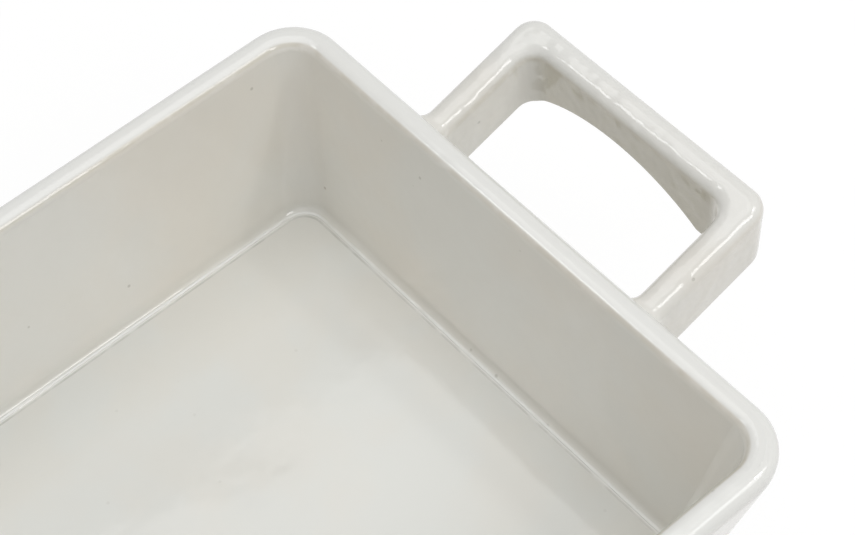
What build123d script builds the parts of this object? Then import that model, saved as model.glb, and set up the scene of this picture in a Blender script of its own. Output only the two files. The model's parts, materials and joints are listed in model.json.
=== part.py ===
from build123d import *
import math
import os

# Ceramic lasagna dish with a loop handle at each end.
# Frame: +X runs along the long side, +Y across, +Z up, origin on the table at the middle of the foot.

# Body, outside
rim_length = 340.0
rim_width = 232.0
rim_corner_radius = 19.5
body_height = 80.0

# Rim, an upright band at the head of the wall
rim_thickness = 9.0
rim_round_radius = 4.1
rim_band_height = 6.0
band_blend_radius = 8.0

# Walls and floor
outer_draft_angle = 12.2
inner_draft_angle = 8.7
inner_corner_radius = 11.0
floor_thickness = 6.5
floor_fillet_radius = 4.0
base_edge_radius = 6.0

# Foot ring, ground flat and left bare
foot_height = 2.0
foot_ring_width = 7.0
foot_setback = 10.0
foot_corner_radius = 9.0
foot_edge_bevel = 0.8

# Loop handles: a strap set on edge and bent into a U, deep at the arms and arched under the bar
arm_half_spacing = 48.8
handle_reach = 45.1
strap_thickness = 10.5
strap_height = 27.4
bar_middle_height = 17.4
handle_rise_angle = 17.0
handle_drop = 2.8
loop_outer_radius = 8.0
loop_inner_radius = 6.5
strap_top_radius = 5.0
strap_bottom_bevel = 2.2
arch_blend_radius = 5.0
arch_margin = 8.0
arch_offset = 3.5
upright_share = 0.5

# Slip joints, where each arm is worked into the end wall
root_reach = 5.5
root_bite = 1.4
root_side_flare = 6.5
root_top_flare = 1.6
root_bottom_flare = 6.0
root_steps = 6



def rounded_face(length, width, radius, height):
    with BuildSketch(Plane.XY.offset(height)) as outline:
        RectangleRounded(length, width, radius)
    return outline.sketch.face()


def edges_at(solid, height):
    return solid.edges().filter_by_position(Axis.Z, height, height)


def slope(angle):
    return math.tan(math.radians(angle))


# A block whose four sides lean in as they go down: two such outlines cross, and the corners are rounded
def drafted_outline(plane, width, top, bottom, draft, depth):
    low = width - 2 * (top - bottom) * slope(draft)
    corners = [(-low / 2, bottom), (low / 2, bottom), (width / 2, top), (-width / 2, top)]
    with BuildSketch(plane) as outline:
        with BuildLine():
            Polyline(*corners, close=True)
        make_face()
    return extrude(outline.sketch, depth / 2, both=True)


def drafted_block(length, width, top, bottom, draft, corner_radius):
    along = drafted_outline(Plane.XZ, length, top, bottom, draft, width)
    across = drafted_outline(Plane.YZ, width, top, bottom, draft, length)
    block = along & across
    level_edges = block.edges().filter_by(Axis.X) + block.edges().filter_by(Axis.Y)
    return fillet(block.edges() - level_edges, corner_radius)


# Shell: the drafted wall, and the upright band of the rim on its top
band_bottom = body_height - rim_band_height
wall = drafted_block(rim_length, rim_width, band_bottom, foot_height, outer_draft_angle, rim_corner_radius)
wall_top = wall.faces().sort_by(Axis.Z)[-1]
wall = fillet(edges_at(wall, foot_height), base_edge_radius)
shell = wall + extrude(wall_top, rim_band_height)
shell = fillet(edges_at(shell, band_bottom), band_blend_radius)

# Foot ring under the base, with the recess inside it
foot_inset = foot_setback + (band_bottom - foot_height) * slope(outer_draft_angle)
foot_length = rim_length - 2 * foot_inset
foot_width = rim_width - 2 * foot_inset
foot_outer = rounded_face(foot_length, foot_width, foot_corner_radius, 0)
recess_length = foot_length - 2 * foot_ring_width
recess_width = foot_width - 2 * foot_ring_width
foot_inner = rounded_face(recess_length, recess_width, foot_corner_radius, 0)
foot_ring = extrude(foot_outer - foot_inner, foot_height)
foot_ring = chamfer(edges_at(foot_ring, 0), foot_edge_bevel)

# Cavity: steeper sides than the outside has, so the wall gets thinner towards the floor
floor_top = foot_height + floor_thickness
mouth_length = rim_length - 2 * rim_thickness
mouth_width = rim_width - 2 * rim_thickness
cavity = drafted_block(
    mouth_length, mouth_width, body_height, floor_top, inner_draft_angle, inner_corner_radius
)
cavity = fillet(edges_at(cavity, floor_top), floor_fillet_radius)

body = shell + foot_ring - cavity
body = fillet(edges_at(body, body_height), rim_round_radius)


# Loop handle, seen from above: a strap with a bend at each outer corner
def loop_face(offset, bend_radius):
    length = 2 * (handle_reach + offset)
    width = 2 * (arm_half_spacing + offset)
    return Pos(rim_length / 2, 0, 0) * rounded_face(length, width, bend_radius, 0)


def strap_top(reach):
    return body_height - handle_drop + reach * slope(handle_rise_angle)


loop_outside = loop_face(strap_thickness / 2, loop_outer_radius)
loop_inside = loop_face(-strap_thickness / 2, loop_inner_radius)
strap_blank = extrude(loop_outside - loop_inside, 2 * body_height)

# The same strap seen from its cut ends: deep at the arms, with an arch under the bar that blends into them
root_plane = Plane.YZ.offset(rim_length / 2 + root_reach)
root_top = strap_top(root_reach)
arch_rise = strap_height - bar_middle_height
arch_half_span = arm_half_spacing - strap_thickness / 2 - arch_margin
arch_radius = (arch_half_span**2 + arch_rise**2) / (2 * arch_rise)
end_view_width = 2 * (arm_half_spacing + strap_thickness)
with BuildSketch(root_plane) as end_view:
    with Locations((0, root_top)):
        Rectangle(end_view_width, strap_height, align=(Align.CENTER, Align.MAX))
    with Locations((arch_offset, root_top - bar_middle_height - arch_radius)):
        Circle(arch_radius, mode=Mode.SUBTRACT)
    arch_ends = end_view.vertices().group_by(Axis.Y)[0].sort_by(Axis.X)[1:-1]
    fillet(arch_ends, arch_blend_radius)

strap_run = handle_reach + strap_thickness - root_reach
strap_direction = Vector(strap_run, 0, strap_top(strap_run) - strap_top(0))
handle = strap_blank & extrude(end_view.sketch, strap_direction.length, strap_direction)


# Edges of the strap's sides, top or bottom, without those of its two cut ends
def is_upright(face):
    return abs(face.normal_at().Z) < upright_share


def is_upper(edge):
    middle = edge.center()
    return middle.Z > strap_top(middle.X - rim_length / 2) - bar_middle_height / 2


def strap_edges(strap, upper):
    sides = strap.faces().sort_by(Axis.X)[2:].filter_by(is_upright)
    rims = sides.edges().filter_by(Axis.Z, reverse=True)
    return rims.filter_by(lambda edge: is_upper(edge) == upper)


handle = fillet(strap_edges(handle, True), strap_top_radius)
handle = chamfer(strap_edges(handle, False), strap_bottom_bevel)

# Slip joint: the arm's own end section, which widens as it runs in and leans over to the slope of the wall
arm_end = handle.faces().sort_by(Axis.X)[:2].sort_by(Axis.Y)[-1]
wall_lean = (band_bottom - strap_top(0) + strap_height) * slope(outer_draft_angle) / strap_height


def root_section(step):
    run = step / root_steps
    flare = run**3
    wider_share = 1 + 2 * root_side_flare * flare / strap_thickness
    deeper_share = 1 + (root_top_flare + root_bottom_flare) * flare / strap_height
    reach = root_reach - (root_reach + root_bite) * run
    side_shift = arm_half_spacing * (1 - wider_share)
    top_shift = strap_top(reach) + root_top_flare * flare - root_top * deeper_share
    rows = [
        [1, 0, wall_lean * run, reach - root_reach - wall_lean * run * root_top],
        [0, wider_share, 0, side_shift],
        [0, 0, deeper_share, top_shift],
    ]
    return arm_end.transform_geometry(Matrix(rows))


root = loft([root_section(step) for step in range(root_steps + 1)]) - body

# The roots of one handle are alike, and the other end of the dish is the same turned half round
half_turn = Rot(0, 0, 180)
near_root = Pos(0, -2 * arm_half_spacing, 0) * root

nodes = {
    "dish_body": body,
    "handle_right": handle,
    "handle_left": half_turn * handle,
    "root_right_far": root,
    "root_right_near": near_root,
    "root_left_far": half_turn * near_root,
    "root_left_near": half_turn * root,
}

os.makedirs("parts", exist_ok=True)
for name, solid in nodes.items():
    export_step(solid, "parts/" + name + ".step")
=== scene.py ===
# %% [markdown]
# # A ceramic lasagna dish
#
# The dish is stoneware: a deep rectangular body, a loop handle at each end, and a thick white glaze
# over all of it but the foot it was fired on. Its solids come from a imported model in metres, with
# the origin on the table under the middle of the dish, +X along its length and +Z up. Nothing here
# moves or reshapes them: this script gives them their glaze, and sets the floor, light and camera.

# %% Load the solids
import json
import bpy
from mathutils import Matrix, Vector

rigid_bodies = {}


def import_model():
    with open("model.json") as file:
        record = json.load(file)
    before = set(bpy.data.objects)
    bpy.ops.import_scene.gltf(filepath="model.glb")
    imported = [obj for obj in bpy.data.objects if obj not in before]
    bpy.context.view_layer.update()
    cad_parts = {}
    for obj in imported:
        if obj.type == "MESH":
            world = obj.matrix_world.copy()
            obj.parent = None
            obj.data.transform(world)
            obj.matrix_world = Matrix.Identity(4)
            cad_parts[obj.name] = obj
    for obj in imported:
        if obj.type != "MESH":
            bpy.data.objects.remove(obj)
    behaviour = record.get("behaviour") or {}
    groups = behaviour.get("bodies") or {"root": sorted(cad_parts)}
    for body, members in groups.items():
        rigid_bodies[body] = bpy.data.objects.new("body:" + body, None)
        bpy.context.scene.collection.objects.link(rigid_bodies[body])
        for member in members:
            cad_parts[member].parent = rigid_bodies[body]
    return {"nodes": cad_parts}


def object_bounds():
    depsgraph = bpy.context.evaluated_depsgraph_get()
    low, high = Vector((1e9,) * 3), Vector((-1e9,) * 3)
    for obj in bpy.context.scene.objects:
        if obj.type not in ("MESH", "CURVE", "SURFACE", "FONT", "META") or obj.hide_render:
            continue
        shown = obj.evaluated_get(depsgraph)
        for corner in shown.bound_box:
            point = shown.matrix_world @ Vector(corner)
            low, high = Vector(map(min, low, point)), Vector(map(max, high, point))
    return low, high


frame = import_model()
cad_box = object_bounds()
cad_size = cad_box[1] - cad_box[0]
print("solids:", ", ".join(sorted(frame["nodes"])))
print("size over all, mm:", [round(side * 1000, 1) for side in cad_size])

# %% [markdown]
# ## The camera
#
# A picture can be lined up with a model when the camera stands where the photographer's did. Here
# that is a long lens close above one corner, looking down into the dish. A camera can be aimed at a
# target, or by the three directions of its own frame: right, up, and backwards out of the lens. The
# directions are used here because they also hold the tilt of the picture. Two of them are enough,
# because the third is square to both.

# %% Camera
camera_place = Vector((-0.10728, -0.30072, 0.62439))
camera_right = Vector((0.7529, -0.6569, -0.0398)).normalized()
camera_up = Vector((0.5534, 0.5992, 0.5785))
camera_back = camera_right.cross(camera_up).normalized()
camera_up = camera_back.cross(camera_right)

camera_data = bpy.data.cameras.new("camera")
camera_data.sensor_fit = "HORIZONTAL"
camera_data.sensor_width = 36.0
camera_data.lens = 92.08
camera_data.clip_start = 0.01
camera = bpy.data.objects.new("camera", camera_data)
turn = Matrix((camera_right, camera_up, camera_back)).transposed()
camera.matrix_world = Matrix.Translation(camera_place) @ turn.to_4x4()
bpy.context.scene.collection.objects.link(camera)
bpy.context.scene.camera = camera
print("camera looks along", [round(part, 3) for part in -camera_back])

# %% [markdown]
# ## Writing a material as a formula
#
# A material is a net of nodes, and a net is hard to read in a script. A small class helps: it holds
# one outlet of the net, so that `1 - mask` or `grain * 0.2` adds the Math node by itself. Colors
# don't go through Math nodes, which would turn them grey, so they are mixed with a node made for it.

# %% A wire of the net
class Wire:
    """One outlet of a material's net."""

    def __init__(self, tree, outlet=None):
        self.tree = tree
        self.outlet = outlet

    def node(self, kind, settings=None, sockets=None, out=0):
        """Add a node with these settings, and with a value or a wire in each of these sockets."""
        made = self.tree.nodes.new(kind)
        for name, value in (settings or {}).items():
            setattr(made, name, value)
        for name, value in (sockets or {}).items():
            if isinstance(value, Wire):
                self.tree.links.new(value.outlet, made.inputs[name])
            else:
                made.inputs[name].default_value = value
        return Wire(self.tree, made.outputs[out] if made.outputs else None)

    def math(self, operation, *values):
        return self.node("ShaderNodeMath", {"operation": operation}, dict(enumerate(values)))

    def __add__(self, other):
        return self.math("ADD", self, other)

    def __sub__(self, other):
        return self.math("SUBTRACT", self, other)

    def __rsub__(self, other):
        return self.math("SUBTRACT", other, self)

    def __mul__(self, other):
        return self.math("MULTIPLY", self, other)

    def __lt__(self, other):
        return self.math("LESS_THAN", self, other)

    def __abs__(self):
        return self.math("ABSOLUTE", self)

    __radd__ = __add__
    __rmul__ = __mul__


def start_material(name):
    material = bpy.data.materials.new(name)
    material.use_nodes = True
    material.node_tree.nodes.clear()
    return material, Wire(material.node_tree)


print("a wire can add, subtract, multiply and compare")

# %% [markdown]
# ## Masks and colors
#
# Each finish sits in its own place: the pale glaze on the rim, the bare clay at the foot. A mask
# says where, as a number from 0 to 1. It could be painted by hand, but a step in a distance or a
# height stays sharp at any zoom and can be read off a ruler. A band is a step up and a step down.

# %% Steps, bands and mixed colors
def mix_colors(share, first, second):
    sockets = {0: share, 6: first, 7: second}
    return share.node("ShaderNodeMix", {"data_type": "RGBA"}, sockets, out=2)


def rise(value, low, high):
    """0 below low, 1 above high, and a soft step between."""
    settings = {"interpolation_type": "SMOOTHSTEP"}
    return value.node("ShaderNodeMapRange", settings, {0: value, 1: low, 2: high})


def band(value, start, full, fade, end):
    """0 up to start, 1 from full to fade, and 0 again from end on."""
    return rise(value, start, full) * (1 - rise(value, fade, end))


print("masks are made of soft steps, one up and one down for a band")

# %% [markdown]
# ## Looking at the glaze
#
# A thick glaze isn't one color. It runs while it melts, so it lies thin over an edge, and pools, a
# little darker and greener, where a wall meets the floor. Patches of it come out warmer or cooler.
# Gas leaves pinholes, and a few specks of iron stay in it. The surface isn't flat either: it keeps
# the hand's slow waves under it, and a finer orange peel on top. Each of these is a noise of its own
# size, measured in metres on the dish, so that it stays put from any side. Beside these, some light
# and shade is painted into the color: painted light on the rim and the handle tops, a painted
# highlight along the foot of the walls, and painted shade on the handles' inner sides and in the
# crease.

# %% Noises at their real sizes
def noise(where, grain, detail=2.0, roughness=0.5):
    """Soft lumps about grain metres across, from 0 to 1."""
    sockets = {"Vector": where, "Scale": 1.0 / grain, "Detail": detail, "Roughness": roughness}
    return where.node("ShaderNodeTexNoise", {"noise_dimensions": "3D"}, sockets)


def spots(where, spacing, radius, share):
    """1 in round spots of that radius, one to a cell of that spacing, in a share of the cells."""
    core_radius = 0.45 * radius
    sockets = {"Vector": where, "Scale": 1.0 / spacing}
    cell_color = where.node("ShaderNodeTexVoronoi", {}, sockets, out="Color")
    distance = where.node("ShaderNodeTexVoronoi", {}, sockets, out="Distance")
    chosen = where.node("ShaderNodeSeparateColor", {}, {0: cell_color}) < share
    return (1 - rise(distance, core_radius / spacing, radius / spacing)) * chosen


patch_size, cloud_size = 0.07, 0.018
wave_size, ripple_size, peel_size = 0.016, 0.0065, 0.0025
pinhole_spacing, speck_spacing, spot_radius = 0.0093, 0.0213, 0.0008
for title, size in (("patches", patch_size), ("waves", wave_size), ("orange peel", peel_size)):
    print(title, round(size * 1000, 1), "mm across")
print("pinholes and specks up to", round(spot_radius * 2000, 1), "mm across")

# %% [markdown]
# ## Where a point lies
#
# The glaze is thinnest on the inner edges, and these follow rounded rectangles seen from above: one
# is the mouth of the dish, and a longer one runs round the gaps of both loops. A wear mask made from
# the angle of the faces would find any edge, but not tell them apart. The distance to a rounded
# rectangle finds just the one that is meant, and bends round its corners as the edge does.

# %% Distance to a rounded rectangle
def axis(where, name):
    return where.node("ShaderNodeSeparateXYZ", {}, {0: where}, out=name)


def beyond_outline(where, half_length, half_width, radius):
    """How far outside a rounded rectangle round the Z axis a point lies, below 0 inside it."""
    past_end = abs(axis(where, "X")) - (half_length - radius)
    past_side = abs(axis(where, "Y")) - (half_width - radius)
    larger = where.math("MAXIMUM", past_end, past_side)
    end_square = where.math("POWER", where.math("MAXIMUM", past_end, 0.0), 2.0)
    side_square = where.math("POWER", where.math("MAXIMUM", past_side, 0.0), 2.0)
    outside = where.math("SQRT", end_square + side_square)
    return outside + where.math("MINIMUM", larger, 0.0) - radius


mouth_outline = (0.161, 0.107, 0.011)
gap_outline = (0.2104, 0.0441, 0.0065)
print("mouth of the dish, mm:", [round(side * 2000, 1) for side in mouth_outline[:2]])
print("outline round the gaps, mm:", [round(side * 2000, 1) for side in gap_outline[:2]])

# %% [markdown]
# ## The glaze
#
# The shader is a pale body under glass: a high index of refraction gives it the strong clear
# reflections of a glaze, and a low, uneven roughness softens them a little here and there. All bumps
# share one height in metres and one Bump node, which keeps them at their real depth beside each
# other. A separate coat layer would not follow that bump, so its reflections would look too flat.

# %% Tones
ivory = (0.815, 0.778, 0.705, 1.0)
celadon_white = (0.78, 0.79, 0.762, 1.0)
pool_tone = (0.655, 0.665, 0.61, 1.0)
# pale glaze for the clouds; also painted light on the rim, the handle tops and the line along the
# floor
pale_tone_and_painted_light = (0.89, 0.89, 0.857, 1.0)
# painted shade for the side of the handle bar that faces the dish
painted_shade_tone = (0.625, 0.595, 0.505, 1.0)
# painted shade for the crease at the foot of the walls
crease_shade_tone = (0.47, 0.47, 0.42, 1.0)
tan = (0.60, 0.555, 0.44, 1.0)
iron = (0.33, 0.26, 0.19, 1.0)
pit_tone = (0.36, 0.34, 0.28, 1.0)
print("thin glaze throws back", round(sum(pale_tone_and_painted_light[:3]) / 3, 2), "of the light")
print("pooled glaze throws back", round(sum(pool_tone[:3]) / 3, 2))

# %% Glaze
def glaze_parts(start, wave_height):
    """The color, roughness and height of the glaze, for each material that has some."""
    pinhole_share, speck_share, spot_strength = 0.2, 0.3, 0.4
    patch_strength, cloud_strength = 0.55, 0.2
    melted_smooth, cloud_roughness, peel_roughness = 0.05, 0.06, 0.03
    ripple_height = wave_height * 0.9
    peel_height, pinhole_depth = 0.000008, 0.00006
    where = start.node("ShaderNodeTexCoord", out="Object")
    patches = rise(noise(where, patch_size, 3.0), 0.35, 0.65)
    clouds = noise(where, cloud_size, 4.0, 0.6)
    color = mix_colors(patches * patch_strength, ivory, celadon_white)
    color = mix_colors(clouds * cloud_strength, color, pale_tone_and_painted_light)
    pinholes = spots(where, pinhole_spacing, spot_radius, pinhole_share)
    specks = spots(where, speck_spacing, spot_radius, speck_share)
    color = mix_colors(pinholes * spot_strength, color, pit_tone)
    color = mix_colors(specks * spot_strength, color, iron)
    waves = noise(where, wave_size, 1.0)
    ripples = noise(where, ripple_size, 1.0)
    peel = noise(where, peel_size, 2.0)
    roughness = melted_smooth + clouds * cloud_roughness + peel * peel_roughness
    height = waves * wave_height + ripples * ripple_height
    height = height + peel * peel_height - pinholes * pinhole_depth
    return where, color, roughness, height


def close_material(start, color, roughness, height):
    glaze_ior = 1.68
    bump = {"Distance": 1.0, "Strength": 1.0, "Height": height}
    normal = start.node("ShaderNodeBump", {}, bump, out="Normal")
    finish = {"Base Color": color, "Roughness": roughness, "IOR": glaze_ior, "Normal": normal}
    shader = start.node("ShaderNodeBsdfPrincipled", {}, finish)
    start.node("ShaderNodeOutputMaterial", {}, {"Surface": shader})


print("one glaze, for the handles and for the body")

# %% [markdown]
# ## The handles' glaze
#
# The handles are shaped and stuck on by hand, so the waves under their glaze are five times as high
# as the body's. Their tops are painted paler, as painted light, most of all near the bar. The side of
# the bar that faces the dish, and a little of the arms' inner sides, is painted darker, as painted
# shade, and tan shows in patches along the edge between the two. The tops rise outwards in a
# straight slope, so the depth below that slope tells top from side. A mask by the angle of the
# faces would catch the bends of the loop too.

# %% Glaze of the handles
handle_waves = 0.0006
top_slope, top_over_middle = 0.3057, 0.02523
top_step, side_step, edge_band = (0.0015, 0.004), (0.002, 0.005), (0.002, 0.003, 0.0035, 0.006)
gap_step, arm_step, reach_step = (0.0, 0.0025), (0.034, 0.043), (0.19, 0.206)
painted_shade_strength, arm_share, tan_strength, break_size = 0.8, 0.2, 0.5, 0.007
pale_least, pale_more = 0.1, 0.55

handle_glaze, start = start_material("glaze_handles")
where, color, roughness, height = glaze_parts(start, handle_waves)
below_top = abs(axis(where, "X")) * top_slope + top_over_middle - axis(where, "Z")
on_top = 1 - rise(below_top, *top_step)
gap_side = 1 - rise(beyond_outline(where, *gap_outline), *gap_step)
inner_side = gap_side * rise(below_top, *side_step)
along_bar = 1 - rise(abs(axis(where, "Y")), *arm_step)
near_bar = rise(abs(axis(where, "X")), *reach_step)
broken = rise(noise(where, break_size, 2.0), 0.35, 0.6)

# painted shade: the side of the bar facing the dish, and a little of the arms, is made darker
painted_shade_share = inner_side * along_bar + inner_side * arm_share
color = mix_colors(painted_shade_share * painted_shade_strength, color, painted_shade_tone)
# painted light: the handle tops are made paler, most of all near the bar
color = mix_colors(on_top * (near_bar * pale_more + pale_least), color, pale_tone_and_painted_light)
thin_edge = band(below_top, *edge_band) * broken
color = mix_colors(thin_edge * inner_side * tan_strength, color, tan)
close_material(start, color, roughness, height)
print("glaze for the handles:", len(handle_glaze.node_tree.nodes), "nodes")

# %% [markdown]
# ## The body's floor and crease
#
# The body wears the same glaze, a little calmer, and calmest on the flat floor, where only a long
# swell is left. The glaze pools along the foot of the walls inside, and a low ridge of it stands
# along the wall, which is also painted bright as a painted highlight. A darker line at its floor side
# is painted shade in the crease. All of these lie at their own height above the table, so bands of
# height find them, with one noise that breaks them up.

# %% Glaze of the body, from the floor up
body_waves = 0.00012
floor_band = (0.0075, 0.008, 0.0085, 0.0095)
pool_band = (0.008, 0.0088, 0.0095, 0.016)
crease_band = (0.008503, 0.00852, 0.00857, 0.00866)
bead_and_glint_band = (0.0087, 0.00885, 0.009, 0.00935)
floor_tone = (0.79, 0.782, 0.738, 1.0)
floor_strength, pool_strength, floor_patch_size, break_size = 0.7, 0.25, 0.035, 0.009
crease_least, crease_more, glint_least, glint_more = 0.25, 0.4, 0.4, 0.6

body_glaze, start = start_material("glaze_body")
where, color, roughness, height = glaze_parts(start, body_waves)
level = axis(where, "Z")
broken = rise(noise(where, break_size, 2.0), 0.3, 0.6)
on_floor = band(level, *floor_band)
floor_patches = rise(noise(where, floor_patch_size, 2.0), 0.4, 0.6)
floor_color = mix_colors(floor_patches, floor_tone, celadon_white)
color = mix_colors(on_floor * floor_strength, color, floor_color)
color = mix_colors(band(level, *pool_band) * pool_strength, color, pool_tone)
# painted shade: a dark line in the crease at the foot of the walls
crease = band(level, *crease_band)
color = mix_colors(crease * (crease_least + broken * crease_more), color, crease_shade_tone)
# painted highlight: a bright line on the ridge along the wall; its bump further down is real
bead_and_glint = band(level, *bead_and_glint_band)
color = mix_colors(bead_and_glint * (glint_least + broken * glint_more), color, pale_tone_and_painted_light)

swell_size, swell_height, calm = 0.04, 0.0004, 0.55
bead_height, bead_lumps = 0.0001, 0.00012
swell = noise(where, swell_size, 1.0)
height = height * (1 - on_floor * calm) + on_floor * swell * swell_height
height = height + bead_and_glint * (bead_height + broken * bead_lumps)
print("floor, crease and bead:", len(body_glaze.node_tree.nodes), "nodes")

# %% [markdown]
# ## The body's rim
#
# The rim is painted pale, as painted light, which makes it the palest part of the dish. Over its
# inner edge the glaze is so thin that the tan of the clay comes through. Both are found by the
# distance past the mouth's outline, and only near the top, because the outside of the walls lies past
# that outline too.

# %% Rim
rim_step, rim_levels = (0.0006, 0.0016), (0.072, 0.078)
tan_band, tan_levels = (-0.0004, 0.0003, 0.0006, 0.0013), (0.073, 0.075)
rim_light_strength, tan_least, tan_more = 0.9, 0.15, 0.35
past_mouth = beyond_outline(where, *mouth_outline)
# painted light: the rim is made pale
rim = rise(past_mouth, *rim_step) * rise(level, *rim_levels)
color = mix_colors(rim * rim_light_strength, color, pale_tone_and_painted_light)
inner_edge = band(past_mouth, *tan_band) * rise(level, *tan_levels)
color = mix_colors(inner_edge * (tan_least + broken * tan_more), color, tan)
print("tan line on the rim, mm wide:", round((tan_band[3] - tan_band[0]) * 1000, 1))

# %% [markdown]
# ## The bare foot
#
# The foot ring is wiped clean before the firing, because glaze would stick to the kiln shelf, so it
# shows the clay: matt, sandy and a little buff. It could be a material of its own, set on the ring's
# faces, but the glaze stops in a line that is never quite level. So the clay is mixed in below a
# height, and a noise is added to the height of that line.

# %% Foot
clay_light = (0.62, 0.565, 0.48, 1.0)
clay_dark = (0.47, 0.41, 0.33, 1.0)
clay_roughness, sand_height = 0.85, 0.00008
line_height, line_waver, waver_size, line_softness = 0.0013, 0.0009, 0.012, 0.00015
sand_grain, grog_spacing, grog_radius, grog_share = 0.0009, 0.004, 0.0003, 0.4

sand = noise(where, sand_grain, 5.0, 0.75)
clay_color = mix_colors(rise(sand, 0.3, 0.7), clay_light, clay_dark)
grog = spots(where, grog_spacing, grog_radius, grog_share)
clay_color = mix_colors(grog, clay_color, iron)
glaze_line = line_height + noise(where, waver_size, 2.0) * line_waver
bare = 1 - rise(level - glaze_line, -line_softness, line_softness)
color = mix_colors(bare, color, clay_color)
roughness = roughness * (1 - bare) + bare * clay_roughness
height = height * (1 - bare) + bare * sand * sand_height
close_material(start, color, roughness, height)
print("glaze for the body:", len(body_glaze.node_tree.nodes), "nodes")

# %% [markdown]
# ## Dressing the solids
#
# The whole dish was dipped in one bucket of glaze, so both materials come from one formula. The
# handles and their slip joints wear the one, and the body wears the other. Giving a mesh another
# material leaves its shape as it is.

# %% Glaze every solid
for name, solid in frame["nodes"].items():
    solid.data.materials.clear()
    solid.data.materials.append(body_glaze if name == "dish_body" else handle_glaze)
    print(name, "wears", solid.data.materials[0].name)

# %% [markdown]
# ## The floor
#
# A pale sheet of paper catches the shadow of the dish. To look white, it could be lit more, but that
# would bleach the dish as well. Instead it is lit as everything else is, and for the camera's own
# rays, and those of reflections, most of it glows white. The rest still shows the shadow.

# %% Floor
def backdrop_rays(start):
    """1 for the rays that show the backdrop, 0 for those that light the dish."""
    camera_rays = start.node("ShaderNodeLightPath", out="Is Camera Ray")
    glossy_rays = start.node("ShaderNodeLightPath", out="Is Glossy Ray")
    clear_rays = start.node("ShaderNodeLightPath", out="Is Transmission Ray")
    return camera_rays + glossy_rays + clear_rays


floor_half, fibre_size = 3.0, 0.002
glow_share, glow_strength = 0.86, 1.06
paper_dark, paper_light = (0.80, 0.80, 0.79, 1.0), (0.84, 0.84, 0.83, 1.0)
white_light = (1.0, 1.0, 1.0, 1.0)

signs = ((-1, -1), (1, -1), (1, 1), (-1, 1))
floor_corners = [(floor_half * along, floor_half * across, 0) for along, across in signs]
floor_mesh = bpy.data.meshes.new("floor")
floor_mesh.from_pydata(floor_corners, [], [(0, 1, 2, 3)])
floor = bpy.data.objects.new("floor", floor_mesh)
bpy.context.scene.collection.objects.link(floor)

floor_paint, start = start_material("floor_paper")
fibre = noise(start.node("ShaderNodeTexCoord", out="Object"), fibre_size, 3.0)
paper_color = mix_colors(fibre, paper_dark, paper_light)
paper = start.node("ShaderNodeBsdfDiffuse", {}, {"Color": paper_color})
glow = start.node("ShaderNodeEmission", {}, {"Color": white_light, "Strength": glow_strength})
shares = {0: backdrop_rays(start) * glow_share, 1: paper, 2: glow}
shader = start.node("ShaderNodeMixShader", {}, shares)
start.node("ShaderNodeOutputMaterial", {}, {"Surface": shader})
floor_mesh.materials.append(floor_paint)
print("floor", 2 * floor_half, "m across")

# %% [markdown]
# ## The sky
#
# A white studio fills the shadows from all sides. The world stands for it: it lights the dish at a
# modest strength, and is plain white for the rays that show the backdrop.

# %% Sky
sky_strength = 0.37
world = bpy.data.worlds.new("studio")
world.use_nodes = True
world.node_tree.nodes.clear()
bpy.context.scene.world = world
start = Wire(world.node_tree)
lit = start.node("ShaderNodeBackground", {}, {"Color": white_light, "Strength": sky_strength})
white = start.node("ShaderNodeBackground", {}, {"Color": white_light, "Strength": 1.0})
shader = start.node("ShaderNodeMixShader", {}, {0: backdrop_rays(start), 1: lit, 2: white})
start.node("ShaderNodeOutputWorld", {}, {"Surface": shader})
print("the sky lights at", sky_strength, "and shows white")

# %% [markdown]
# ## The lamps
#
# Glossy white ware is lit with large soft panels, because their reflections describe its form. A big
# one overhead gives more light than any other. One in front and one at the +X end shade the two walls
# that are seen from inside differently. A small hard one beside them draws the thin bright lines
# along the edges, and two weak ones at the -X end lift what they leave dark.

# %% Lamps
dish_middle = (0.1, 0.0, 0.05)


def softbox(name, place, width, height, watts):
    lamp = bpy.data.lights.new(name, "AREA")
    lamp.shape = "RECTANGLE"
    lamp.size = width
    lamp.size_y = height
    lamp.energy = watts
    holder = bpy.data.objects.new(name, lamp)
    holder.location = place
    towards_dish = Vector(dish_middle) - Vector(place)
    holder.rotation_euler = towards_dish.to_track_quat("-Z", "Y").to_euler()
    bpy.context.scene.collection.objects.link(holder)
    print(name, "at", place, watts, "W")


softbox("small_key", (0.9, -0.7, 1.3), 0.1, 0.1, 1.5)
softbox("broad_key", (0.9, -0.85, 1.25), 0.7, 0.5, 2.8)
softbox("front_panel", (0.3, -1.2, 1.15), 0.5, 0.5, 3.2)
softbox("top_panel", (0.1, 0.15, 1.6), 1.4, 1.4, 6.1)
softbox("side_panel", (-0.5, -0.9, 1.3), 1.0, 1.0, 1.2)
softbox("back_panel", (-0.7, 0.65, 1.2), 0.35, 0.35, 1.3)

# %% [markdown]
# ## The view transform
#
# The colors are shown plainly, with the Standard view transform.

# %% Finish
bpy.context.scene.view_settings.view_transform = "Standard"
